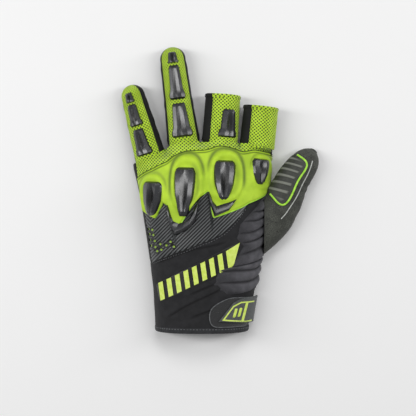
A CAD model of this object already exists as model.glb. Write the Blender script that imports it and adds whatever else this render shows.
# %% [markdown]
# # A left-hand riding glove, lying palm down
# The glove is soft: knitted, moulded and sewn layers over a hand's shape, with hard rubber guards on
# top.  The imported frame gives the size, the hinges and the solids.  Everything that shows is built
# here as surfaces over the same form, and it rides on the same moving bodies.

# %% Load the frame
import math

import bmesh
import bpy
import numpy as np
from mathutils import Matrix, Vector


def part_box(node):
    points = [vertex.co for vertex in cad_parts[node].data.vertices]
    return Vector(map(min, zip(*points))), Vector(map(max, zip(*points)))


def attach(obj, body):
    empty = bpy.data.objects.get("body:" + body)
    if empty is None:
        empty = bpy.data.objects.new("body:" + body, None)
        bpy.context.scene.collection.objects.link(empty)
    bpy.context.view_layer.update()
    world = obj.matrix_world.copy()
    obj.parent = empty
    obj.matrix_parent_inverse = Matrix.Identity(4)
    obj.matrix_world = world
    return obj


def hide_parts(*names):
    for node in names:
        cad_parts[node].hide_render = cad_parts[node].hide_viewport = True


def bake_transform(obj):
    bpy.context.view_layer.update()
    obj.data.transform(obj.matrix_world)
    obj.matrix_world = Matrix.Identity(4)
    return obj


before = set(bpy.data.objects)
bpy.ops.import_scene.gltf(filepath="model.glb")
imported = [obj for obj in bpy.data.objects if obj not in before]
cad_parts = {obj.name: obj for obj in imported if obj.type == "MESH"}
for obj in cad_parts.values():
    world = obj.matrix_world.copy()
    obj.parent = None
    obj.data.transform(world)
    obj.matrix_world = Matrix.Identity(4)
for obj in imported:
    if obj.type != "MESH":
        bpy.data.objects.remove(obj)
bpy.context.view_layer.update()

# %% [markdown]
# ## Where the glove's own origin lies
# The glove is easiest to describe from the middle of its cuff: +Y runs to the fingertips and lengths
# are millimetres.  The frame is centred on its box instead, so the cuff's hem tells how far the two
# origins are apart.

# %% Origin of the cuff in the frame
MM = 0.001
CUFF_CENTRE = -14.2
hem_low, hem_high = (np.array(corner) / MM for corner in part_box("cuff_binding"))
SHIFT = np.array([(hem_low[0] + hem_high[0]) / 2 - CUFF_CENTRE, hem_low[1], 0.0])
print("shift in mm", SHIFT.round(3))

# %% [markdown]
# ## The hand's form
# A glove is sewn over a last, a model of a hand.  It could be sculpted, but then every panel would
# have to be fitted by eye.  One formula is better: a superellipse arch whose width and height change
# along the hand.  Every panel then is a layer at its own offset from the same arch, so layers nest.

# %% Sections of the hand
HAND_LENGTH, CUFF_WIDTH, KNUCKLE_WIDTH = 156.5, 75.0, 105.4
ALONG = np.array([-0.05, 0.0, 0.18, 0.36, 0.565, 0.79, 1.0, 1.08])
SPREAD = np.array([0.0, 0.0, 0.214, 0.493, 0.842, 1.0, 1.48, 1.55])
CENTRE = np.array([-14.2, -14.2, -12.8, -11.0, -10.7, -13.7, -16.0, -16.0])
HEIGHT = np.array([33.0, 33.0, 33.0, 35.0, 37.0, 36.0, 27.0, 24.0])
POWER = 2.5
STATIONS = np.stack([ALONG * HAND_LENGTH, CENTRE,
                     CUFF_WIDTH + SPREAD * (KNUCKLE_WIDTH - CUFF_WIDTH), HEIGHT], axis=1)


def spline(control, u):
    """Points of a clamped cubic B-spline: at u, the sum of each control point times its basis weight."""
    count = len(control)
    knots = np.concatenate([[0.0] * 3, np.arange(count - 2), [count - 3.0] * 3])
    u = np.clip(np.asarray(u, float), 0, count - 3 - 1e-9)[..., None]
    weight = ((u >= knots[:-1]) & (u < knots[1:])).astype(float)
    for k in (1, 2, 3):
        rise = np.where(knots[k:-1] > knots[:-k - 1], knots[k:-1] - knots[:-k - 1], 1)
        fall = np.where(knots[k + 1:] > knots[1:-k], knots[k + 1:] - knots[1:-k], 1)
        weight = ((u - knots[:-k - 1]) / rise * weight[..., :-1]
                  + (knots[k + 1:] - u) / fall * weight[..., 1:])
    return weight @ np.asarray(control, float)


STEPS = np.linspace(0, len(STATIONS) - 3, 1500)
SECTION_TABLE = spline(STATIONS, STEPS)


def section(y):
    """Centre, width and height of the arch at a distance from the cuff, read off the splines."""
    return [np.interp(y, SECTION_TABLE[:, 0], SECTION_TABLE[:, i]) for i in (1, 2, 3)]


def arch(t, y, offset=0.0):
    """Point of the form grown by an offset, t degrees from the arch's top:
    x = centre + half width * sin(t)^(2/p), z = height * cos(t)^(2/p)."""
    centre, width, height = section(y)
    s, c = np.sin(np.radians(t)), np.cos(np.radians(t))
    x = centre + (width / 2 + offset) * np.sign(s) * np.abs(s) ** (2 / POWER)
    z = (height + offset) * np.clip(c, 0, 1) ** (2 / POWER)
    return np.stack(np.broadcast_arrays(x, y, z), axis=-1)


def share_angle(across):
    """Angle t at which the arch is a given share of its half width away from the centre."""
    across = np.asarray(across, float)
    inside = np.clip(across, -1, 1)
    t = np.degrees(np.arcsin(np.sign(inside) * np.abs(inside) ** (POWER / 2)))
    return t + (across - inside) * 30


def plan_angle(x, y):
    """Angle t of the point of the arch over a plan point."""
    centre, width, _ = section(y)
    return share_angle(np.clip((x - centre) / (width / 2), -0.999, 0.999))


def even_angles(first, last, step):
    """Angles from first to last with an even spacing along the arch."""
    t = np.linspace(first, last, 400)
    line = arch(t, np.full_like(t, 110.0))
    run = np.concatenate([[0], np.cumsum(np.linalg.norm(np.diff(line, axis=0), axis=1))])
    return np.interp(np.linspace(0, run[-1], max(3, round(run[-1] / step))), run, t), run[-1]


top_of_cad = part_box("ribbed_panel")[1].z / MM
print("arch height at 80 mm", round(float(section(80.0)[2]), 2), "ribbed panel's top", round(top_of_cad, 2))

# %% [markdown]
# ## Turning grids into sewn pieces
# A flat panel has thickness, so it is made as two grids, one for each face, and a wall round the rim.
# Extruding and bevelling by hand would give the same, but a grid also carries a cloth coordinate in
# millimetres, which the weave follows.  Doubles at seams and poles are merged, and normals point out.


# %% Mesh helpers
def smooth_step(low, high, value):
    """0 below low, 1 above high and 3q^2 - 2q^3 between, where q is the share of the way."""
    q = np.clip((value - low) / (high - low), 0, 1)
    return q * q * (3 - 2 * q)


def grid_faces(rows, columns, first=0):
    """Four-sided faces of a grid whose vertices are numbered row by row."""
    i = np.arange(rows * columns).reshape(rows, columns) + first
    return np.stack([i[:-1, :-1], i[:-1, 1:], i[1:, 1:], i[1:, :-1]], axis=-1).reshape(-1, 4)


def rim_of(rows, columns):
    """Numbers of the vertices round the edge of a grid, in order."""
    i = np.arange(rows * columns).reshape(rows, columns)
    return np.concatenate([i[0, :-1], i[:-1, -1], i[-1, :0:-1], i[:0:-1, 0]])


def make_piece(name, points, faces, finish, uv=None, tone=None, sharp=40.0):
    """Mesh object in metres with its place in its vertices, doubles merged and normals outward."""
    mesh = bpy.data.meshes.new(name)
    mesh.from_pydata(((points + SHIFT) * MM).tolist(), [], faces.tolist())
    if tone is not None:
        shade = mesh.attributes.new("tone", "FLOAT", "POINT")
        shade.data.foreach_set("value", tone.astype(np.float32).ravel())
    if uv is not None:
        corner = np.zeros(len(mesh.loops), np.int32)
        mesh.loops.foreach_get("vertex_index", corner)
        mesh.uv_layers.new(name="cloth").data.foreach_set("uv", uv[corner].astype(np.float32).ravel())
    work = bmesh.new()
    work.from_mesh(mesh)
    bmesh.ops.remove_doubles(work, verts=work.verts, dist=2e-6)
    bmesh.ops.recalc_face_normals(work, faces=work.faces)
    work.to_mesh(mesh)
    work.free()
    mesh.polygons.foreach_set("use_smooth", np.ones(len(mesh.polygons), bool))
    mesh.set_sharp_from_angle(angle=math.radians(sharp))
    mesh.materials.append(finish)
    item = bpy.data.objects.new(name, mesh)
    bpy.context.scene.collection.objects.link(item)
    return item


def panel(name, top, bottom, finish, uv=None, tone=None, sharp=40.0):
    """Closed slab between two grids of the same shape."""
    rows, columns = top.shape[:2]
    count = rows * columns
    rim = rim_of(rows, columns)
    ahead = np.roll(rim, -1)
    walls = np.stack([rim, rim + count, ahead + count, ahead], axis=1)
    faces = np.concatenate([grid_faces(rows, columns), grid_faces(rows, columns, count)[:, ::-1], walls])
    points = np.concatenate([top.reshape(-1, 3), bottom.reshape(-1, 3)])
    both = None if uv is None else np.concatenate([uv.reshape(-1, 2)] * 2)
    tones = None if tone is None else np.concatenate([tone.ravel()] * 2)
    return make_piece(name, points, faces, finish, both, tones, sharp)


def place(item, nodes=(), body=None, bend=None):
    """Hang a finished piece on its body, or bend it across a hinge, and say what it stands for."""
    if body:
        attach(item, body)
    if bend:
        first, second, start, end = bend
        [float(c) for c in (start + SHIFT) * MM]
        [float(c) for c in (end + SHIFT) * MM]
        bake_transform(item)
    if nodes:
        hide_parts(*nodes)
    return item


# %% [markdown]
# ## Writing finishes as sums
# A shader is a graph of small nodes.  Laid out by hand it is hard to read, so one class wraps a
# node's output and lets Python's own operators add the Math nodes: `1 - holes` makes a Subtract node.

# %% Shader helpers
class Signal:
    """Output of a node, for use in sums."""

    def __init__(self, finish, socket):
        self.finish, self.socket = finish, socket

    def maths(self, operation, first, second=0.0):
        return self.finish.signal("ShaderNodeMath", {"operation": operation}, {0: first, 1: second})

    def __add__(self, other):
        return self.maths("ADD", self, other)

    def __sub__(self, other):
        return self.maths("SUBTRACT", self, other)

    def __rsub__(self, other):
        return self.maths("SUBTRACT", other, self)

    def __mul__(self, other):
        return self.maths("MULTIPLY", self, other)

    __radd__ = __add__
    __rmul__ = __mul__

    def cosine(self):
        return self.maths("COSINE", self)

    def between(self, low, high):
        """0 at low, 1 at high, held outside them and eased between."""
        return self.finish.signal("ShaderNodeMapRange", {"interpolation_type": "SMOOTHSTEP"},
                                  {"Value": self, "From Min": low, "From Max": high})


def linear(colour):
    """Linear light values of a colour given in the usual 0 to 255 display values."""
    c = np.array(colour, float) / 255
    c = np.where(c <= 0.04045, c / 12.92, ((c + 0.055) / 1.055) ** 2.4)
    return [*c.tolist(), 1.0]


class Finish:
    """Material with one Principled shader, whose fixed values are set on the shader itself."""

    def __init__(self, name, **fixed):
        self.material = bpy.data.materials.new(name)
        self.material.use_nodes = True
        self.tree = self.material.node_tree
        self.shader = self.tree.nodes["Principled BSDF"]
        for socket, value in fixed.items():
            self.shader.inputs[socket.replace("_", " ")].default_value = value

    def node(self, kind, settings, inputs):
        node = self.tree.nodes.new(kind)
        for key, value in settings.items():
            setattr(node, key, value)
        for key, value in inputs.items():
            if isinstance(value, Signal):
                self.tree.links.new(value.socket, node.inputs[key])
            else:
                node.inputs[key].default_value = value
        return node

    def signal(self, kind, settings=(), inputs=(), output=0):
        return Signal(self, self.node(kind, dict(settings), dict(inputs)).outputs[output])

    def spot(self):
        return self.signal("ShaderNodeTexCoord", output="Object")

    def cloth(self):
        """Cloth coordinates u and v in millimetres."""
        uv = self.signal("ShaderNodeUVMap", {"uv_map": "cloth"})
        split = self.node("ShaderNodeSeparateXYZ", {}, {0: uv})
        return Signal(self, split.outputs[0]), Signal(self, split.outputs[1])

    def tone(self):
        return self.signal("ShaderNodeAttribute", {"attribute_name": "tone"}, output="Fac")

    def noise(self, size_mm, detail=2.0, rough=0.5):
        """Noise from 0 to 1 whose blobs have a given size."""
        return self.signal("ShaderNodeTexNoise", {}, {"Vector": self.spot(), "Scale": 1000 / size_mm,
                                                      "Detail": detail, "Roughness": rough})

    def creases(self, size_mm):
        """Distance to the edge of cells of a given size, as in leather grain."""
        return self.signal("ShaderNodeTexVoronoi", {"feature": "DISTANCE_TO_EDGE"},
                           {"Vector": self.spot(), "Scale": 1000 / size_mm})

    def mix(self, factor, first, second):
        """Colour between two colours."""
        return self.signal("ShaderNodeMix", {"data_type": "RGBA"}, {0: factor, 6: first, 7: second}, 2)

    def feed(self, socket, value):
        self.tree.links.new(value.socket, self.shader.inputs[socket])
        return self

    def bump(self, height, depth_mm):
        relief = {"Height": height, "Distance": depth_mm * MM, "Strength": 1.0}
        return self.feed("Normal", self.signal("ShaderNodeBump", {}, relief))


TURN = 2 * math.pi

# %% [markdown]
# ## Finishes
# The yellow-green knit has rows of small holes, offset like bricks, which show the dark lining.  Its
# pattern runs in cloth coordinates, so it follows each finger.  The same lattice also sinks the mesh,
# so that the holes are real hollows and not only paint.

# %% Knit and moulded greens
LIME_DEEP = (96, 122, 20)
HOLE_PITCH = 2.8


def holes_at(u, v):
    """Depth share of the knit's holes: the product of two cosines peaks in a staggered lattice."""
    lattice = np.cos(2 * np.pi * u / HOLE_PITCH) * np.cos(2 * np.pi * v / HOLE_PITCH)
    return smooth_step(0.05, 0.6, lattice)


def green_knit():
    finish = Finish("green_open_knit", Roughness=0.82, Sheen_Weight=0.25, Sheen_Roughness=0.5)
    u, v = finish.cloth()
    lattice = (u * (TURN / HOLE_PITCH)).cosine() * (v * (TURN / HOLE_PITCH)).cosine()
    holes = lattice.between(0.0, 0.42)
    loops = (u * (TURN / 0.7)).cosine() * (v * (TURN / 0.7)).cosine()
    patches = finish.noise(9.0).between(0.3, 0.7)
    yarn = finish.mix(patches, linear((180, 216, 32)), linear((200, 238, 54)))
    yarn = finish.mix(loops.between(-0.2, 1.0) * 0.3, yarn, linear(LIME_DEEP))
    finish.feed("Base Color", finish.mix(holes * 0.9, yarn, linear((26, 36, 8))))
    return finish.bump(loops * 0.15 - holes, 0.25).material


def green_moulded():
    finish = Finish("green_moulded_foam", Roughness=0.62, Sheen_Weight=0.15, Sheen_Roughness=0.5)
    patches = finish.noise(14.0, 3.0).between(0.3, 0.7)
    base = finish.mix(patches, linear((166, 202, 24)), linear((190, 226, 42)))
    finish.feed("Base Color", finish.mix(finish.tone(), base, linear((62, 84, 10))))
    return finish.bump(finish.noise(0.35, 2.0), 0.05).material


KNIT, MOULDED = green_knit(), green_moulded()

# %% [markdown]
# The dark parts differ mostly in gloss and grain: polished rubber armour, satin ribbed rubber, dull
# woven cuff cloth, stretch cloth, suede-like leather, pile.  Near-black surfaces show their material
# through roughness, so each has a fine relief and a small spread of roughness.

# %% Dark finishes
def armour_rubber():
    finish = Finish("polished_armour", Specular_IOR_Level=0.75)
    scuffs = finish.noise(1.3, 4.0, 0.7).between(0.55, 0.75)
    polish = finish.mix(scuffs, linear((44, 45, 48)), linear((58, 59, 62)))
    finish.feed("Base Color", finish.mix(finish.tone(), polish, linear((3, 3, 3))))
    finish.feed("Roughness", scuffs * 0.1 + 0.24)
    return finish.bump(finish.noise(0.9, 3.0), 0.004).material


def ribbed_rubber():
    finish = Finish("ribbed_rubber", Specular_IOR_Level=0.6)
    smear = finish.noise(3.0, 3.0)
    rubber = finish.mix(smear, linear((6, 6, 7)), linear((14, 15, 16)))
    rubber = finish.mix(finish.tone().between(0.05, 0.4), rubber, linear((92, 95, 96)))
    finish.feed("Base Color", finish.mix(finish.tone().between(0.6, 0.9), rubber, linear((150, 186, 40))))
    finish.feed("Roughness", smear * 0.15 + 0.3)
    return finish.bump(finish.noise(0.4), 0.02).material


def woven(name, dark, light, pitch, rough, low=None):
    """Plain weave in object coordinates: two crossed sets of threads, a faint mottling, and another
    colour down in the folds."""
    finish = Finish(name, Roughness=rough, Sheen_Weight=0.03, Specular_IOR_Level=0.35)
    split = finish.node("ShaderNodeSeparateXYZ", {}, {0: finish.spot()})
    x, y = Signal(finish, split.outputs[0]), Signal(finish, split.outputs[1])
    threads = ((x + y) * (TURN * 1000 / pitch)).cosine() * ((x - y) * (TURN * 1000 / pitch)).cosine()
    worn = finish.noise(7.0, 3.0).between(0.25, 0.75)
    shade = finish.mix(worn, linear(dark), linear(light))
    if low:
        shade = finish.mix(finish.tone(), shade, linear(low))
    raised = linear([c * 1.2 for c in light])
    finish.feed("Base Color", finish.mix(threads.between(-0.4, 1.0) * 0.35, shade, raised))
    return finish.bump(threads * 0.5 + finish.noise(2.5), 0.12).material


def leather(name, dark, light, grain):
    """Leather: cell-shaped grain with darker creases, and rubbed lighter patches."""
    finish = Finish(name, Specular_IOR_Level=0.4)
    creases = finish.creases(grain).between(0.0, 0.12)
    rubbed = finish.noise(8.0, 4.0).between(0.35, 0.7)
    skin = finish.mix(rubbed, linear(dark), linear(light))
    finish.feed("Base Color", finish.mix(creases, linear([c * 0.6 for c in dark]), skin))
    finish.feed("Roughness", rubbed * 0.12 + 0.6)
    return finish.bump(creases * 0.6 + finish.noise(0.5), 0.09).material


def fleecy(name, dark, light, depth):
    """Pile or hooks: a thick, noisy nap."""
    finish = Finish(name, Roughness=0.95, Sheen_Weight=0.35, Sheen_Roughness=0.6)
    nap = finish.noise(0.6, 4.0, 0.75)
    finish.feed("Base Color", finish.mix(nap.between(0.3, 0.7), linear(dark), linear(light)))
    return finish.bump(nap, depth).material


def plain_rubber(name, dark, light, rough, relief=0.03, over=None):
    """Moulded rubber with a slight mottling in colour and gloss, and another colour on raised bars."""
    finish = Finish(name)
    mottle = finish.noise(2.5, 3.0).between(0.3, 0.7)
    base = finish.mix(mottle, linear(dark), linear(light))
    finish.feed("Base Color", finish.mix(finish.tone(), base, linear(over)) if over else base)
    finish.feed("Roughness", mottle * 0.1 + rough)
    return finish.bump(finish.noise(0.5), relief).material


ARMOUR, RIBS = armour_rubber(), ribbed_rubber()
CUFF_CLOTH = woven("cuff_softshell", (25, 25, 27), (38, 38, 40), 1.1, 0.85, (12, 12, 13))
STRETCH_CLOTH = woven("pleated_stretch_cloth", (66, 66, 70), (92, 91, 96), 0.9, 0.8,
                      (22, 22, 24))
SIDE_CLOTH = woven("finger_side_cloth", (9, 9, 10), (19, 19, 21), 1.0, 0.75)
BINDING_TAPE = woven("binding_tape", (30, 31, 33), (46, 47, 50), 1.3, 0.7)
LINING_CLOTH = woven("brushed_lining", (34, 34, 36), (50, 50, 53), 1.6, 0.95)
THUMB_LEATHER = leather("thumb_leather", (60, 62, 56), (84, 86, 79), 1.3)
PALM_LEATHER = leather("palm_leather", (34, 35, 34), (52, 53, 51), 1.6)
THUMB_PATCH = plain_rubber("thumb_grip_rubber", (44, 46, 41), (58, 60, 54), 0.5,
                           over=(118, 120, 112))
PILE = fleecy("black_pile", (12, 12, 13), (34, 35, 37), 0.5)
HOOKS = fleecy("hook_tape", (20, 20, 21), (44, 45, 47), 0.35)
BAR_RUBBER = plain_rubber("pale_lime_rubber", (206, 230, 88), (222, 240, 122), 0.42)
STRAP_RUBBER = plain_rubber("strap_rubber", (66, 69, 69), (84, 87, 87), 0.5, 0.06)
LIME_PIPING = plain_rubber("lime_piping", (150, 214, 40), (186, 240, 84), 0.4)
DARK_THREAD = plain_rubber("dark_thread", (84, 86, 88), (118, 120, 122), 0.7, 0.1)
PALE_THREAD = plain_rubber("pale_thread", (176, 178, 174), (206, 208, 204), 0.7, 0.1)
SEAM_SHADE = plain_rubber("olive_seam_cord", (52, 68, 12), (84, 106, 22), 0.7)
print("finishes", len(bpy.data.materials))

# %% [markdown]
# ## Seams across the back
# The back is cut from panels that meet along curved seams.  Each seam is a line of (across, along)
# pairs, as shares of the hand's half width and length, the same numbers that the solids use.  Panels
# between two seams are grids whose columns run from the lower seam to the upper one.

# %% Seam lines
YOKE_SEAM = [(-0.955, 0.815), (-0.67, 0.871), (-0.46, 0.906), (-0.344, 0.939), (-0.2, 0.961),
             (0.086, 0.966), (0.25, 0.99), (0.4, 0.982), (0.57, 0.957), (0.73, 0.969), (1.3, 0.94)]
KNUCKLE_SEAM = [(-0.955, 0.65), (-0.77, 0.605), (-0.608, 0.689), (-0.54, 0.668), (-0.476, 0.518),
                (-0.021, 0.724), (0.082, 0.751), (0.126, 0.607), (0.584, 0.663), (0.685, 0.684),
                (1.0, 0.762), (1.3, 0.8)]
RIB_SEAM = [(-0.955, 0.37), (-0.665, 0.407), (-0.34, 0.443), (-0.1, 0.472), (0.108, 0.499), (0.325, 0.537),
            (0.508, 0.598), (0.685, 0.684)]
FRONT_LINE = [(-1.05, 0.885), (-0.93, 0.905), (-0.735, 0.925), (-0.62, 0.95), (-0.55, 0.962), (-0.4, 0.995),
              (-0.23, 1.02), (-0.02, 1.018), (0.06, 1.008), (0.28, 1.02), (0.52, 1.008), (0.61, 1.004),
              (0.8, 1.002), (0.96, 0.98), (1.1, 0.96)]
SIDE = 87.8


def seam_height(pairs, t, soften=0.0):
    """Distance of a seam from the cuff at angles t: straight between its points, rounded at corners
    by averaging over a window of a few degrees."""
    s, along = np.array(pairs).T
    window = np.linspace(-soften, soften, 7)
    return np.mean([np.interp(t + w, share_angle(s), along * HAND_LENGTH) for w in window], axis=0)


def between_seams(t, lower, upper, step):
    """Angles and distances of a grid that fills the strip between two seams."""
    rows = max(3, round(float(np.max(upper - lower)) / step))
    v = np.linspace(0, 1, rows)[:, None]
    return np.broadcast_to(t, (rows, len(t))), lower + (upper - lower) * v


def edge_roll(shape, ahead, across, depth):
    """Depth by which a panel's edges roll down into its seams: largest at the rim, 0 inside.
    The roll is three steps wide, and a step is as many rows and columns as ahead and across say."""
    near = [np.minimum(np.arange(n), np.arange(n)[::-1]) / step for n, step in zip(shape, (ahead, across))]
    return depth * (1 - smooth_step(0, 3, np.minimum.outer(*near)))


def hand_layer(name, slot, nodes, finish, angles, along, high, low, **cloth):
    """Slab over the hand's form between two offsets from it, sewn to the hand."""
    item = panel(name, arch(angles, along, high), arch(angles, along, low), finish, **cloth)
    return place(item, nodes, body="hand")


T_LEFT = float(share_angle(-0.955))
print("left seam angle", round(T_LEFT, 1))

# %% [markdown]
# ## Lining and palm
# The lining is a thin shell inside the form, seen in the cuff's mouth.  The palm is a flat leather
# panel; its outline is the form's plan, and shallow channels pad it where reins or bars press.

# %% Lining and palm
CHANNEL_PITCH, CHANNEL_DEPTH = 21.0, 0.35
t = np.linspace(-89.5, 89.5, 130)
v = np.linspace(0, 1, 120)[:, None]
far = seam_height(YOKE_SEAM, t, 2.0) + 1.5
y = 1.6 + (far - 1.6) * v
hand_layer("lining", "lining", ["back_lining"], LINING_CLOTH, t, y, -0.05, -1.5)

across = np.linspace(-1, 1, 150)
rows = np.linspace(0, 1, 190)[:, None]
far = np.interp(across, *np.array(FRONT_LINE).T) * HAND_LENGTH - 3.0
y = 0.4 + (far - 0.4) * rows
centre, width, _ = section(y)
x = centre + across * (width / 2 + 0.9)
channels = smooth_step(0.75, 1.0, np.cos(TURN * (y + 0.25 * x) / CHANNEL_PITCH))
channels = CHANNEL_DEPTH * channels * (1 - smooth_step(0.6, 0.8, np.abs(across)))
under = np.stack([x, y, 0.02 + channels], axis=-1)
over = np.stack([x, y, np.full_like(x, 1.8)], axis=-1)
palm = panel("palm", over, under, PALM_LEATHER)
place(palm, ["palm_panel"], body="hand")
print("palm rows", under.shape)

# %% [markdown]
# ## Knuckle panel
# Over the knuckles lies a moulded foam panel.  Round each guard it rises into a pod, and a groove
# follows the pod like a moulded frame.  It could be sculpted; a formula keeps the pods concentric
# with their guards: r is the superelliptic distance from the guard's middle, the pod is a ring that
# rises just inside r = 1, and the groove is a bell curve on r = 1.

# %% Pods and grooves
# middle, half width, half length and strength
PODS = [(-52.2, 112.5, 11.5, 20.0, 0.55), (-25.3, 123.5, 13.4, 25.5, 1.0),
        (4.7, 129.5, 14.2, 23.0, 1.0), (33.4, 133.0, 9.5, 15.5, 0.45)]


def pod_relief(x, y):
    """Height of the moulded panel above its base, and how deep in a groove each point is."""
    height, shade = np.full_like(x, 0.0), np.zeros_like(x)
    for cx, cy, a, b, strength in PODS:
        r = (np.abs((x - cx) / a) ** 2.4 + np.abs((y - cy) / b) ** 2.4) ** (1 / 2.4)
        arc = smooth_step(-0.35, 0.25, (y - cy) / b + 0.35 * np.sign(cx + 10) * (x - cx) / a)
        groove = np.exp(-((r - 1) / 0.085) ** 2) * arc
        swell = smooth_step(0.55, 0.78, r) * (1 - smooth_step(0.8, 1.03, r))
        height = np.maximum(height, 1.7 * strength * swell) - 1.5 * strength * groove
        inner = np.exp(-((r - 0.62) / 0.12) ** 2) * smooth_step(0.1, -0.6, -(x - cx) / a)
        shade = np.maximum(shade, strength * np.maximum(0.75 * groove, 0.28 * inner))
    return height, shade


t, _ = even_angles(T_LEFT + 0.3, SIDE, 0.5)
lower = seam_height(KNUCKLE_SEAM, t, 0.7)
upper = seam_height(YOKE_SEAM, t, 2.0)
tt, yy = between_seams(t, lower, upper, 0.5)
flat = arch(tt, yy)
relief, shade = pod_relief(flat[..., 0], flat[..., 1])
seam_line = np.exp(-((upper[None] - 2.2 - yy) / 0.55) ** 2)
roll = edge_roll(tt.shape, 2.0, 2.0, 0.9)
knuckle_pad = hand_layer("knuckle_pad", "foam", ["knuckle_foam", "knuckle_panel"], MOULDED, tt, yy,
                         3.5 + relief - roll - 0.7 * seam_line, 0.3, tone=np.maximum(shade, 0.8 * seam_line))
print("knuckle pad", tt.shape, "pods", len(PODS), "relief mm", round(float(relief.max()), 2))

# %% [markdown]
# ## Ribbed rubber panel
# Behind the knuckles a rubber print of fine ribs stiffens the back of the hand.  The ribs are real
# ridges: the cosine of the distance across them gives their height.  Near the little finger's side
# they fold into arrows, and there small round vents show the green.

# %% Ribbed panel with vents
VENTS = np.array([(-57.6, 85.7), (-54.3, 85.2), (-56.8, 81.5), (-53.4, 81.0), (-56.4, 76.8),
                  (-52.2, 76.0), (-47.5, 73.5), (-42.5, 72.6), (-51.7, 71.0), (-46.7, 68.9),
                  (-39.1, 75.6), (-55.4, 72.0), (-50.2, 67.6), (-36.4, 71.6)])
RIB_PITCH, RIB_FOLD = 2.1, -55.0


def rib_relief(x, y):
    """Ridge height from 0 to 1: the cosine of 0.70 y - 0.72 |x - fold| over the pitch, squared off."""
    distance = y * 0.70 - np.abs(x - RIB_FOLD) * 0.72
    return smooth_step(0.3, 0.8, 0.5 + 0.5 * np.cos(TURN * distance / RIB_PITCH))


t_right = float(share_angle(0.68))
t, _ = even_angles(T_LEFT + 0.2, t_right, 0.36)
lower = seam_height(RIB_SEAM, t, 1.5)
upper = np.minimum(seam_height(KNUCKLE_SEAM, t, 0.7) + 1.2, seam_height(KNUCKLE_SEAM, t, 0.0) + 3.0)
tt, yy = between_seams(t, lower - 0.3, np.maximum(upper, lower + 0.2), 0.36)
flat = arch(tt, yy)
x, y = flat[..., 0], flat[..., 1]
gap = np.min(np.hypot(x[..., None] - VENTS[:, 0], y[..., None] - VENTS[:, 1]), axis=-1)
vent = 1 - smooth_step(0.75, 1.3, gap)
ring = np.exp(-((gap - 1.9) / 0.3) ** 2)
ribs = rib_relief(x, y) * smooth_step(2.0, 2.5, gap)
roll = edge_roll(tt.shape, 2.0, 2.0, 0.5)
hand_layer("ribbed_back", "rib_rubber", ["ribbed_panel"], RIBS, tt, yy,
           1.35 + 0.62 * ribs + 0.5 * ring - 0.75 * vent - roll, 0.15, tone=np.maximum(0.42 * ribs, vent))
print("ribbed panel", tt.shape, "vents", len(VENTS))

# %% [markdown]
# ## Cuff, side strip and pleated stretch panel
# The cuff is a softshell cloth that creases a little where the wrist turns, with a few slanting
# tucks.  The stretch panel on the thumb's side is gathered into pleats that fan out from the wrist:
# along the fan the height is a row of rounded humps with sharp valleys, |sin| to a power below one.

# %% Cuff cloth
# distance from the hem at x = -50, slope, and where each tuck begins and ends
TUCKS = [(6.0, 0.62, -40.0, 2.0), (14.0, 0.60, -22.0, 12.0), (-4.0, 0.55, -22.0, 12.0),
         (57.0, 0.36, -48.0, 4.0)]

t, _ = even_angles(-SIDE, SIDE, 0.7)
cuff_top = np.where(t < share_angle(RIB_SEAM[-1][0]), seam_height(RIB_SEAM, t, 1.5),
                    seam_height(KNUCKLE_SEAM, t, 1.0))
tt, yy = between_seams(t, np.full_like(t, 2.0), cuff_top, 0.7)
flat = arch(tt, yy)
x, y = flat[..., 0], flat[..., 1]
creases = (0.5 * np.sin((y - 0.42 * x) / 5.2 + 1.4 * np.sin(x / 17.0)) * smooth_step(6, 30, y)
           + 0.3 * np.sin((y + 0.9 * x) / 8.0 + np.sin(y / 11.0)))
hump = smooth_step(0.0, 6.0, cuff_top[None] - yy)
tucks = np.zeros_like(x)
for start, rise, first, last in TUCKS:
    line = y - start - rise * (x + 50.0) - 2.0 * np.sin((x + 50.0) / 12.0)
    reach = smooth_step(first - 5, first + 5, x) * smooth_step(last + 5, last - 5, x)
    tucks = np.maximum(tucks, np.exp(-(line / 1.1) ** 2) * reach)
high = 1.25 + 0.35 * creases * hump - 0.9 * tucks - edge_roll(tt.shape, 1.5, 1.5, 0.4)
hand_layer("cuff_cloth", "cuff_fabric", ["cuff_panel"], CUFF_CLOTH, tt, yy, high, 0.15, tone=0.8 * tucks)

t = np.linspace(-SIDE, T_LEFT + 0.6, 26)
lower, upper = np.full_like(t, 0.368 * HAND_LENGTH), seam_height(FRONT_LINE, t, 0.5)
tt, yy = between_seams(t, lower, upper, 0.8)
high = 1.4 - edge_roll(tt.shape, 1.5, 1.5, 0.4)
hand_layer("side_strip", "fourchette", ["side_gusset"], SIDE_CLOTH, tt, yy, high, 0.15)
print("cuff", flat.shape[:2], "side strip", tt.shape)

# %% Pleated stretch panel
PLEAT_LEFT = np.array([(39.0, 118.5), (31.4, 105.8), (22.5, 96.5), (16.3, 89.9), (12.9, 78.1),
                       (18.8, 71.4), (8.7, 55.4), (-3.9, 51.2), (-4.7, 41.1), (6.2, 31.1)])
PLEAT_RIGHT = np.array([121.0, 113.5, 106.0, 98.5, 88.5, 80.0, 66.0, 59.5, 49.0, 37.0])
PLEATS = 10
run = np.linspace(0, 9, 250)
left_x = np.interp(run, np.arange(10), PLEAT_LEFT[:, 0])
left_y = np.interp(run, np.arange(10), PLEAT_LEFT[:, 1])
right_y = np.interp(run, np.arange(10), PLEAT_RIGHT)
t_from = plan_angle(left_x, left_y)[:, None]
u = np.linspace(0, 1, 130)[None]
tt = t_from + (86.5 - t_from) * u
sag = np.sin(np.pi * u) * 2.2 * np.sin(run / 9 * np.pi)[:, None]
yy = left_y[:, None] + (right_y - left_y)[:, None] * u ** 0.9 - sag
phase = run[:, None] / 9 * PLEATS + 0.12 * np.sin(5 * u + run[:, None])
pleat = np.abs(np.sin(np.pi * phase)) ** 0.62
ease = smooth_step(0.0, 0.14, u) * smooth_step(0.0, 0.05, 1 - u)
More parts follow.
